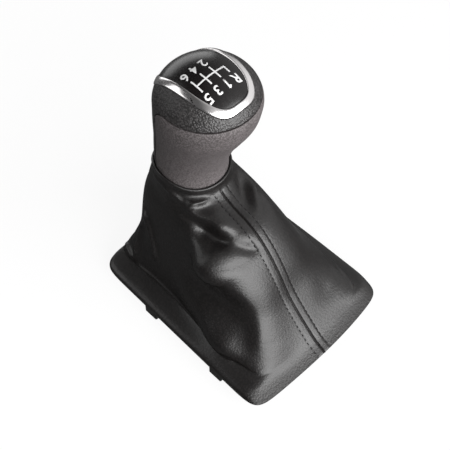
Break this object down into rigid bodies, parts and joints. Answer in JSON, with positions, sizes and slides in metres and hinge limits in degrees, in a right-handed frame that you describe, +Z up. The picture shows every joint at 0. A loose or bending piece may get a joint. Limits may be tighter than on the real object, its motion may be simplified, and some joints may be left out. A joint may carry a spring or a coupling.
{
  "type": "gear shift knob with gaiter",
  "caption": "Round gear shift knob with a shift pattern insert and trim ring on a tapering grip, with a stitched leather gaiter over a clip-in base frame.",
  "frame": {"origin": "under the middle of the base, level with the feet of the clips", "axes": "+X to the car's right, +Y forward, +Z up along the lever"},
  "size_m": [0.0992, 0.124, 0.1544],
  "materials": {
    "insert_gloss": "polished black with white print",
    "ring_chrome": "bright plated plastic",
    "head_grain": "dark grained soft cover",
    "grip_grain": "grey grained soft cover",
    "core_moulding": "plain black moulding",
    "bushing_plastic": "natural plastic sleeve",
    "clamp_steel": "bright steel band",
    "tie_plastic": "black plastic band",
    "gaiter_leather": "fine grained black leather, slight sheen",
    "frame_plastic": "plain black moulding"
  },
  "bodies": {
    "frame": {"gaiter_frame": "frame_plastic", "hem_retainer": "frame_plastic"},
    "gaiter": {"gaiter_right_panel": "gaiter_leather", "gaiter_left_panel": "gaiter_leather"},
    "knob": {"pattern_insert": "insert_gloss", "chrome_ring": "ring_chrome", "head_cover": "head_grain", "grip_panel": "grip_grain", "knob_core": "core_moulding", "lever_bushing": "bushing_plastic", "lever_clamp": "clamp_steel", "gaiter_tie": "tie_plastic"}
  },
  "joints": [
    {"name": "select", "type": "hinge", "parent": "frame", "child": "gaiter", "pos_m": [0, -0.037, -0.1], "axis": [0, 1, 0], "range_deg": [-11, 5.5], "deforming": ["gaiter_right_panel", "gaiter_left_panel"]},
    {"name": "shift", "type": "hinge", "parent": "gaiter", "child": "knob", "pos_m": [0, -0.037, -0.1], "axis": [-1, 0, 0], "range_deg": [0, 16], "deforming": ["gaiter_right_panel", "gaiter_left_panel"]}
  ]
}
